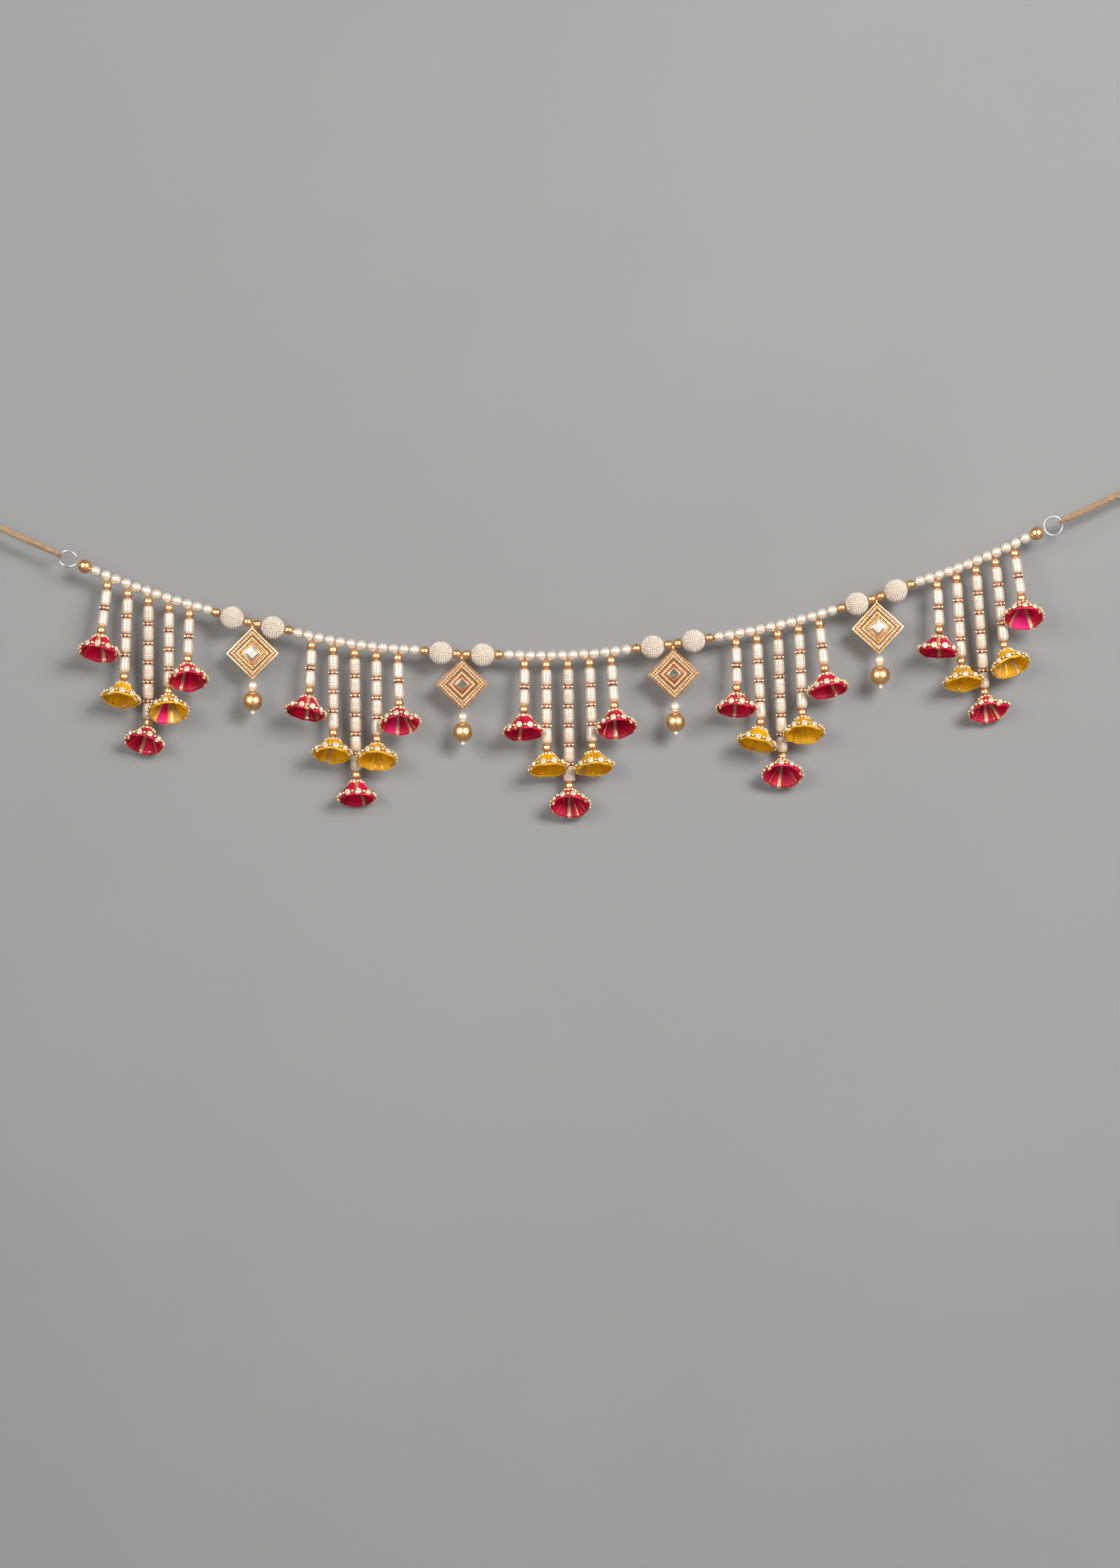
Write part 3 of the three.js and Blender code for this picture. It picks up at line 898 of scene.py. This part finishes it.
def makeStrand(section, place, draw):
    mark = f"{section + 1}_{place + 1}"
    ovals, pitch = strands["places"][place][1:3]
    top, heading, length = strandLine(section, place)
    placed = [(models["strandGold"], alongThread(top, heading, draw.uniform(0, 360)))]
    for i in range(ovals):
        below = (strands["goldToOval"] + i * pitch) * mm
        kind = "lastOval" if i == ovals - 1 else "oval"
        seat = alongThread(top + heading * below, -heading, draw.uniform(0, 360))
        stout = wideOvals.get(mark, 1) if i == ovals - 1 else 1
        placed.append((models[kind], seat @ Matrix.Diagonal((stout, stout, 1, 1))))
        if i:
            seat = top + heading * (below - pitch * mm / 2)
            placed.append((models["spacer"], alongThread(seat, heading, draw.uniform(-9, 9))))
    foot = top + heading * length
    placed.append((models["strandGold"], alongThread(foot, heading, draw.uniform(0, 360))))
    piece = assemble(f"strandBeads_{mark}", placed)
    string = wire(f"strandThread_{mark}", [
        top - heading * (strands["topDrop"] * mm), top, foot,
        foot + heading * (strands["footToBell"] * mm),
    ], strands["thread"] * mm, thread)
    piece = joinUp(piece.name, [piece, string])
    hang(piece, "strand_pearl", f"strand_{mark}")
    return piece


# Silk bells: a cone of cloth with lace and piping on it, a stone chain at its hem and one at its crown

bell = {  # mm; shares run along the cloth from its tip to its hem; cut in m and its area in square m
    "crown": {"share": 0.3, "depth": 3.4, "radius": 6.4},
    "brim": {"share": 0.88, "rise": 2.7, "radius": 17.7},
    "mouth": 16.9, "swell": 0.35, "around": 104, "down": 16, "cloth": 0.55,
    "creases": 13, "lace": 3.2, "piping": 0.8, "cut": 0.05, "cutArea": 0.00135,
    "hemChain": {"share": 0.88, "lift": 1.0, "pairs": 11, "rise": 0.1, "band": 1.7},
    "crownChain": {"share": 0.3, "lift": 0.8, "pairs": 6, "rise": 0.5, "band": 1.3},
}
# lace and piping: shares of the cloth where each ends outside and inside, its lift in mm and its mesh
ribbon = {"top": 0.24, "inside": 0.2, "lift": 0.3, "steps": 12, "columns": 4}


def clothShape(draw, depth, pinch):
    # where the creases lie and how the hem waves, for one bell
    creases = []
    for i in range(bell["creases"]):
        creases.append({
            "angle": math.tau * (i + draw.uniform(-0.35, 0.35)) / bell["creases"],
            "depth": draw.uniform(0.1, 1.15), "width": draw.uniform(0.045, 0.09)})
    # each strip between creases gets two random tones, and the cloth runs from one to the other as
    # painted fold shade
    return {"creases": creases, "lean": draw.uniform(0, math.tau), "wave": draw.uniform(0, math.tau),
            "squash": draw.uniform(0.01, 0.03), "depth": depth, "pinch": pinch,
            "panels": [(draw.uniform(0, 0.9), draw.uniform(0, 0.9)) for _ in creases]}


def clothPoint(shape, angle, share, lift=0):
    # a point of the cloth's outside, in mm; lift moves it off the cloth
    crown, brim = bell["crown"], bell["brim"]
    brimDepth = shape["depth"] - brim["rise"]
    if share < crown["share"]:  # the rounded crown
        part = share / crown["share"]
        radius = 0.4 + (crown["radius"] - 0.4) * part ** 0.85
        depth = 0.8 + (crown["depth"] - 0.8) * part ** 2
        outward = 0.25 + 0.55 * part
    elif share < brim["share"]:  # the straight skirt
        part = (share - crown["share"]) / (brim["share"] - crown["share"])
        radius = crown["radius"] + (brim["radius"] - crown["radius"]) * part
        radius += bell["swell"] * math.sin(math.pi * part)
        depth = crown["depth"] + (brimDepth - crown["depth"]) * part
        outward = 0.8
    else:  # and the hem under the chain
        part = (share - brim["share"]) / (1 - brim["share"])
        radius = brim["radius"] + (bell["mouth"] - brim["radius"]) * part ** 1.5
        depth = brimDepth + (shape["depth"] - brimDepth) * part
        outward = 0.8 + 0.19 * min(1, 3 * part)
    radius *= 1 + shape["squash"] * math.cos(2 * (angle - shape["lean"])) * share
    if shape["pinch"]:
        corner, pull = shape["pinch"]
        away = abs(math.remainder(angle - math.radians(90 - corner), math.tau))
        radius *= 1 + pull * share ** 3 * (math.exp(-6 * away) - 0.4 * math.exp(-4 * (away - 0.9) ** 2))
    for crease in shape["creases"]:
        away = math.remainder(angle - crease["angle"], math.tau) / crease["width"]
        radius -= crease["depth"] * share ** 1.2 * math.exp(-abs(away) ** 1.3)
    hem = 0.45 * math.sin(3 * angle + shape["wave"]) + 0.25 * math.sin(7 * angle - shape["wave"])
    depth += hem * share ** 4
    reach = radius + lift * outward
    return Vector((reach * math.cos(angle), reach * math.sin(angle),
                   -depth + lift * math.sqrt(1 - outward ** 2)))


def panelToneWithPaintedShade(shape, angle):
    # between two creases the cloth runs from one random tone to another: a painted fold shade across
    # the strip
    edges = sorted(crease["angle"] % math.tau for crease in shape["creases"])
    number = sum(angle > edge for edge in edges) % len(edges)
    last = edges[number]
    width = (last - edges[number - 1]) % math.tau
    part = 1 - (last - angle) % math.tau / width
    first, second = shape["panels"][number]
    return first + (second - first) * part


def makeCloth(mark, shape, material, bright):
    deselectAll()
    bpy.ops.mesh.primitive_grid_add(
        x_subdivisions=bell["around"], y_subdivisions=bell["down"], size=1, calc_uvs=True)
    cloth = named(f"bellSilk_{mark}", material, pinkSilk)
    for vertex in cloth.data.vertices:  # the flat cut is rolled up into a cone
        angle = -math.tau * (vertex.co.x + 0.5)
        vertex.co = clothPoint(shape, angle, vertex.co.y + 0.5) * mm
    pickFaces(cloth, lambda face: True)
    bpy.ops.mesh.remove_doubles(threshold=1e-6)
    leaveEdit()
    applyModifier(cloth, "SOLIDIFY", thickness=bell["cloth"] * mm, offset=-1)
    applyModifier(cloth, "WELD", merge_threshold=1e-6)
    # painted shade: across each strip between creases the cloth runs from one random tone to another as
    # painted fold shade
    panelToneAndPaintedShade = cloth.data.attributes.new("panelToneAndPaintedShade", "FLOAT", "CORNER")
    for face in cloth.data.polygons:
        angle = math.atan2(face.center.y, face.center.x) % math.tau
        for loop in face.loop_indices:
            spot = cloth.data.vertices[cloth.data.loops[loop].vertex_index].co
            turn = math.remainder(math.atan2(spot.y, spot.x) - angle, math.tau)
            panelToneAndPaintedShade.data[loop].value = panelToneWithPaintedShade(shape, (angle + 0.9 * turn) % math.tau)
        inward = face.normal.x * face.center.x + face.normal.y * face.center.y < 0
        if bright and inward and bright[0] < 90 - math.degrees(angle) < bright[1]:
            face.material_index = 1
    smooth(cloth, 60)
    return cloth


def stripOn(shape, name, degrees, width, material):
    # a ribbon down the outside of the cloth, round the hem and up the inside
    angle = math.radians(90 - degrees)
    steps, lift = ribbon["steps"], ribbon["lift"]
    rows = []
    for step in range(steps + 1):
        rows.append((ribbon["top"] + (1 - ribbon["top"]) * step / steps, lift))
    rows.append((1.012, -bell["cloth"] / 2))
    for step in range(steps + 1):
        rows.append((1 - (1 - ribbon["inside"]) * step / steps, -bell["cloth"] - lift))
    deselectAll()
    bpy.ops.mesh.primitive_grid_add(
        x_subdivisions=ribbon["columns"], y_subdivisions=len(rows) - 1, size=1, calc_uvs=True)
    strip = named(name, material)
    run = [0.0]
    for before, after in zip(rows, rows[1:]):
        step = clothPoint(shape, angle, *after) - clothPoint(shape, angle, *before)
        run.append(run[-1] + step.length / width)
    layer = strip.data.uv_layers.active
    spots = {}
    for vertex in strip.data.vertices:
        row = round((vertex.co.y + 0.5) * (len(rows) - 1))
        share, lift = rows[row]
        middle = clothPoint(shape, angle, share)
        reach = max(2.0, math.hypot(middle.x, middle.y))
        offset = vertex.co.x * min(width, 1.2 * reach) / reach
        spots[vertex.index] = (vertex.co.x + 0.5, run[row])
        vertex.co = clothPoint(shape, angle + offset, share, lift) * mm
    for loop in strip.data.loops:
        layer.data[loop.index].uv = spots[loop.vertex_index]
    return strip


def stoneModel(name, radius):
    # a faceted stone in a round cup; it looks along Z
    deselectAll()
    bpy.ops.mesh.primitive_cylinder_add(vertices=12, radius=radius * mm, depth=0.42 * radius * mm)
    cup = named(name + "Cup", creamGold)
    pickFaces(cup, lambda face: face.normal.z > 0.9)
    sink(0.1 * radius, -0.2 * radius)
    smooth(cup, 40)
    deselectAll()
    bpy.ops.mesh.primitive_cone_add(
        vertices=8, radius1=0.94 * radius * mm, radius2=0.5 * radius * mm, depth=0.34 * radius * mm,
        location=(0, 0, 0.28 * radius * mm))
    stone = named(name + "Stone", clearStone)
    applyPlace(stone)
    pickFaces(stone, lambda face: face.normal.z > 0.9)
    bpy.ops.mesh.poke(offset=0.07 * radius * mm)
    leaveEdit()
    model = assemble(name, [(cup, Matrix()), (stone, Matrix())])
    discard(cup, stone)
    return model


models["hemStone"] = stoneModel("modelHemStone", 2.7)
models["crownStone"] = stoneModel("modelCrownStone", 1.85)
models["hemBall"] = seed("modelHemBall", 1.6, chainGold, 10, 6)
models["crownBall"] = seed("modelCrownBall", 1.4, chainGold)


def chainOn(shape, sizes, stone, ball, draw):
    # stones and balls by turns, standing off the cloth
    placed = []
    start = draw.uniform(0, math.tau)
    for i in range(2 * sizes["pairs"]):
        angle = start + math.tau * (i + draw.uniform(-0.06, 0.06)) / (2 * sizes["pairs"])
        at = clothPoint(shape, angle, sizes["share"], sizes["lift"]) * mm
        outward = Vector((math.cos(angle), math.sin(angle), sizes["rise"] + draw.uniform(-0.12, 0.12)))
        turn = outward.normalized().to_track_quat("Z", "Y").to_matrix().to_4x4()
        spin = Matrix.Rotation(draw.uniform(0, math.tau), 4, "Z")
        placed.append((models[ball if i % 2 else stone], Matrix.Translation(at) @ turn @ spin))
    return placed


def bandOn(shape, name, sizes):
    # the chain's backing, a cord round the cone
    points = [clothPoint(shape, math.tau * i / 40, sizes["share"], 0.1) * mm for i in range(40)]
    return wire(name, points, sizes["band"] * mm / 2, chainBack, closed=True)


def makeBell(section, place, strand, draw):
    mark = f"{section + 1}_{place + 1}"
    roll, tilt = (math.radians(value) for value in hangs[mark][1:3])
    depth, laces, pipings = hangs[mark][3:]
    top, heading, length = strandLine(section, place)
    tip = top + heading * (length + strands["footToBell"] * mm)
    axis = Vector((-math.sin(roll) * math.cos(tilt), -math.sin(tilt), -math.cos(roll) * math.cos(tilt)))
    up = -axis
    side = (Vector((1, 0, 0)) - up * up.x).normalized()
    turn = Matrix((side, up.cross(side), up)).transposed().to_4x4()
    seat = Matrix.Translation(tip) @ turn
    red = place % 2 == 0
    shape = clothShape(draw, depth, pinches.get(mark))
    cloth = makeCloth(mark, shape, redSilk if red else yellowSilk, brightPanels.get(mark))
    strips = []
    for i, degrees in enumerate(laces):
        strips.append(stripOn(shape, f"lace_{i}", degrees, bell["lace"], laceGold))
    for i, degrees in enumerate(pipings):
        strips.append(stripOn(shape, f"piping_{i}", degrees, bell["piping"], pipingGold))
    lace = joinUp(f"bellLace_{mark}", strips)
    applyModifier(lace, "SOLIDIFY", thickness=0.25 * mm, offset=0)
    smooth(lace, 50)
    beading = assemble(f"bellChain_{mark}",
                       chainOn(shape, bell["hemChain"], "hemStone", "hemBall", draw)
                       + chainOn(shape, bell["crownChain"], "crownStone", "crownBall", draw))
    chain = joinUp(beading.name, [
        beading,
        bandOn(shape, "hemBand", bell["hemChain"]),
        bandOn(shape, "crownBand", bell["crownChain"]),
    ])
    for piece in (cloth, lace, chain):
        piece.data.transform(seat)
    hang(cloth, "silk_red" if red else "silk_yellow", f"bell_{mark}")
    hang(lace, "lace_gold")
    hang(chain, "rhinestone")


for section in range(5):
    for place in range(5):
        draw = random.Random(100 + 5 * section + place)
        makeBell(section, place, makeStrand(section, place, draw), draw)
    print("section", section + 1, "of strands and bells hung")


# Square pendants on a corner

pendant = {  # mm and degrees; the rim's half diagonal and height, then what hangs below the plate
    "below": 28.2, "back": 1.6, "leans": [0.2, 0.8, 1.8, 2.8], "rim": (24.4, 3.4),
    "drops": [("pearl", 30.8), ("dropGold", 45), ("tiny", 55.6)],
    "thread": {"from": -24, "to": -57, "radius": 0.35},
    "hook": {"middle": 26.1, "half": (0.55, 0.475, 2.4), "wire": 0.38},
    "collar": {"wide": 1.55, "thick": 0.5, "behind": 0.6},
}
# mm; the steps go from the rim to the stone: half diagonal, height and finish; granules and beads: half
# diagonal, number on a side, radius and height
plates = {
    "pale": {
        "steps": [
            (22.9, 3.6, "plateGold"), (22.6, 2.5, "plateFloor"), (15.7, 2.5, "plateFloor"),
            (15.4, 4.0, "plateGold"), (14.1, 4.1, "plateGold"), (13.8, 3.3, "plateFloor"),
            (10.4, 3.3, "plateFloor"), (10.2, 4.4, "plateGold"), (9.3, 4.5, "plateGold"),
            (9.2, 4.4, "redEnamel"), (7.8, 4.6, "redEnamel"), (7.7, 5.0, "plateGold"),
            (7.1, 5.1, "greyBevel"), (5.2, 5.9, "stone"),
        ],
        "granules": [(19.2, 10, 1.42, 3.1)],
        "beads": (12.1, 10, 0.78, 3.7),
    },
    "dark": {
        "steps": [
            (23.7, 3.6, "darkGold"), (23.4, 2.5, "plateFloor"), (13.9, 2.5, "plateFloor"),
            (13.7, 3.9, "darkGold"), (13.1, 4.0, "darkGold"), (12.9, 3.3, "plateFloor"),
            (9.3, 3.3, "plateFloor"), (9.2, 4.3, "darkGold"), (8.7, 4.4, "darkGold"),
            (8.6, 4.4, "redEnamel"), (6.7, 4.6, "redEnamel"), (6.6, 5.0, "plateGold"),
            (6.1, 5.1, "plateGold"), (5.7, 5.6, "stone"),
        ],
        "granules": [(20.9, 12, 1.12, 3.1), (17.0, 10, 1.12, 3.1)],
        "beads": (11.1, 9, 0.95, 3.9),
    },
}
finishes = {"plateGold": plateGold, "darkGold": darkGold, "plateFloor": plateFloor,
            "redEnamel": redEnamel, "greyBevel": greyBevel}


def pendantPlate(name, stone, steps):
    half, front = pendant["rim"]
    deselectAll()
    bpy.ops.mesh.primitive_cylinder_add(
        vertices=4, radius=half * mm, depth=front * mm, rotation=(math.pi / 2, 0, 0),
        location=(0, (pendant["back"] - front / 2) * mm, 0))
    plate = named(name, *finishes.values(), stone)
    applyPlace(plate)
    order = [*finishes, "stone"]
    pickFaces(plate, lambda face: face.normal.y < -0.9)
    finish = steps[0][2]
    for nextHalf, nextFront, nextFinish in steps:
        plate.active_material_index = order.index(finish)
        bpy.ops.object.material_slot_assign()
        bpy.ops.mesh.inset(thickness=(half - nextHalf) / math.sqrt(2) * mm)
        bpy.ops.transform.translate(value=(0, (front - nextFront) * mm, 0))
        half, front, finish = nextHalf, nextFront, nextFinish
    plate.active_material_index = order.index(finish)
    bpy.ops.object.material_slot_assign()
    bpy.ops.mesh.poke(offset=0.5 * mm)
    leaveEdit()
    applyModifier(plate, "BEVEL", width=0.16 * mm, segments=2, limit_method="ANGLE",
                  angle_limit=math.radians(35))
    smooth(plate, 30)
    return plate


def alongSides(count, half):
    # places along the four sides of a square on its corner, corners included
    right, top = Vector((half, 0, 0)), Vector((0, 0, half))
    corners = [right, top, -right, -top]
    for i in range(4):
        for step in range(count):
            yield corners[i].lerp(corners[(i + 1) % 4], step / count)


def makePendant(number, stone, kind):
    given = plates[kind]
    plate = pendantPlate("plate", stone, given["steps"])
    grain = seed("plateGrain", 1, granule, 10, 7)
    collar = seed("plateCollar", 1, darkGold, 10, 5)
    bead = seed("plateBead", given["beads"][2], chainGold if kind == "pale" else creamGold, 8, 5)
    setting = pendant["collar"]
    placed = [(plate, Matrix())]
    for half, count, radius, front in given["granules"]:
        for spot in alongSides(count, half):
            at = Vector((spot.x, pendant["back"] - front, spot.z)) * mm
            placed.append((grain, Matrix.Translation(at) @ Matrix.Scale(radius, 4)))
            wide, thick = radius * setting["wide"], radius * setting["thick"]
            under = Matrix.Translation(at + Vector((0, setting["behind"], 0)) * mm)
            placed.append((collar, under @ Matrix.Diagonal((wide, thick, wide, 1))))
    half, count, _, front = given["beads"]
    for spot in alongSides(count, half):
        at = Vector((spot.x, pendant["back"] - front, spot.z)) * mm
        placed.append((bead, Matrix.Translation(at)))
    for drop, below in pendant["drops"]:
        placed.append((models[drop], alongThread(Vector((0, 0, -below)) * mm, Vector((0, 0, -1)))))
    body = assemble(f"pendantPlate_{number}", placed)
    bend, cord = pendant["hook"], pendant["thread"]
    right, back, rise = bend["half"]
    loop = ellipse(Vector((0, 0, bend["middle"])) * mm, Vector((right, 0, 0)) * mm,
                   Vector((0, back, rise)) * mm, 20)
    hook = wire("pendantHook", loop, bend["wire"] * mm, plateGold, closed=True)
    string = wire("pendantThread", [Vector((0, 0, cord["from"])) * mm, Vector((0, 0, cord["to"])) * mm],
                  cord["radius"] * mm, thread)
    piece = joinUp(body.name, [body, hook, string])
    discard(plate, grain, collar, bead)
    lean = math.radians(pendant["leans"][number - 1])
    turn = Matrix.Rotation(-lean, 4, "Y")
    knot = onRun(garland["links"][number - 1], 0.5)
    swing = turn @ Vector((0, 0, -pendant["below"] * mm))
    piece.data.transform(Matrix.Translation(knot + swing) @ turn)
    hang(piece, "pendant_gold", f"pendant_{number}")


for number, kind in enumerate(("pale", "dark", "dark", "pale"), 1):
    makePendant(number, whiteStone if kind == "pale" else greenStone, kind)
print("pendants hung")
discard(*models.values())


# Stage: a pale wall that sweeps into the floor, four soft lights and a soft grey sky

stage = {
    "wall": 0.027, "floor": -1.0, "width": 8, "reach": 6, "top": 2.4, "sweep": 0.08,
    "lights": [  # azimuth to the right, elevation, distance, width, height, power, mirrored or not
        (24, 20, 4.2, 1.25, 1.25, 132, False), (-22, 8, 3.6, 1.4, 1.4, 26, False),
        (38, 16, 2.6, 0.55, 1.0, 200, True), (-36, 16, 2.6, 0.55, 1.0, 190, True),
    ],
    "sky": 0.24,
}


def makeStage():
    deselectAll()
    bpy.ops.mesh.primitive_plane_add(size=1)
    sweep = named("backdrop")
    half = stage["width"] / 2
    for vertex in sweep.data.vertices:
        vertex.co = Vector((
            math.copysign(half, vertex.co.x),
            stage["wall"] if vertex.co.y > 0 else -stage["reach"],
            stage["floor"]))
    pickFaces(sweep, lambda edge: all(sweep.data.vertices[v].co.y > 0 for v in edge.vertices), "EDGE")
    bpy.ops.mesh.extrude_region_move(
        TRANSFORM_OT_translate={"value": (0, 0, stage["top"] - stage["floor"])})
    leaveEdit()
    applyModifier(sweep, "BEVEL", width=stage["sweep"], segments=10, limit_method="ANGLE")
    smooth(sweep)
    material, tree, shader = newMaterial("wallPaint", Roughness=0.9)
    place = addNode(tree, "ShaderNodeTexCoord")
    effect = placeEffect(tree, unevenness, place.outputs["Object"], {
        "Cloud Scale": 2, "Grain Scale": 900})
    addColour(tree, shader, effect.outputs["Mask"], colour(150, 150, 150), colour(147, 147, 147))
    # seen from behind, the wall lets the view through
    geometry = addNode(tree, "ShaderNodeNewGeometry")
    clear = addNode(tree, "ShaderNodeBsdfTransparent")
    choose = addNode(tree, "ShaderNodeMixShader", {
        0: geometry.outputs["Backfacing"], 1: shader.outputs[0], 2: clear.outputs[0]})
    tree.links.new(choose.outputs[0], tree.nodes["Material Output"].inputs["Surface"])
    sweep.data.materials.append(material)


def addLights():
    for number, given in enumerate(stage["lights"]):
        azimuth, elevation, distance, width, height, power, mirrored = given
        data = bpy.data.lights.new(f"softbox_{number}", "AREA")
        data.shape = "RECTANGLE"
        data.size = width
        data.size_y = height
        data.energy = power
        across, rise = math.radians(azimuth), math.radians(elevation)
        place = Vector((
            math.sin(across) * math.cos(rise), -math.cos(across) * math.cos(rise), math.sin(rise)))
        light = linked(f"softbox_{number}", data)
        light.visible_glossy = mirrored  # a light is either mirrored or lights the surfaces
        light.visible_diffuse = not mirrored
        light.location = place * distance
        light.rotation_euler = place.to_track_quat("Z", "Y").to_euler()
    world = bpy.data.worlds.new("sky")
    world.use_nodes = True
    sky = world.node_tree.nodes["Background"]
    sky.inputs["Color"].default_value = (0.92, 0.9, 0.88, 1)
    sky.inputs["Strength"].default_value = stage["sky"]
    bpy.context.scene.world = world


makeStage()
addLights()
bpy.context.scene.view_settings.view_transform = "Standard"
print("stage set")
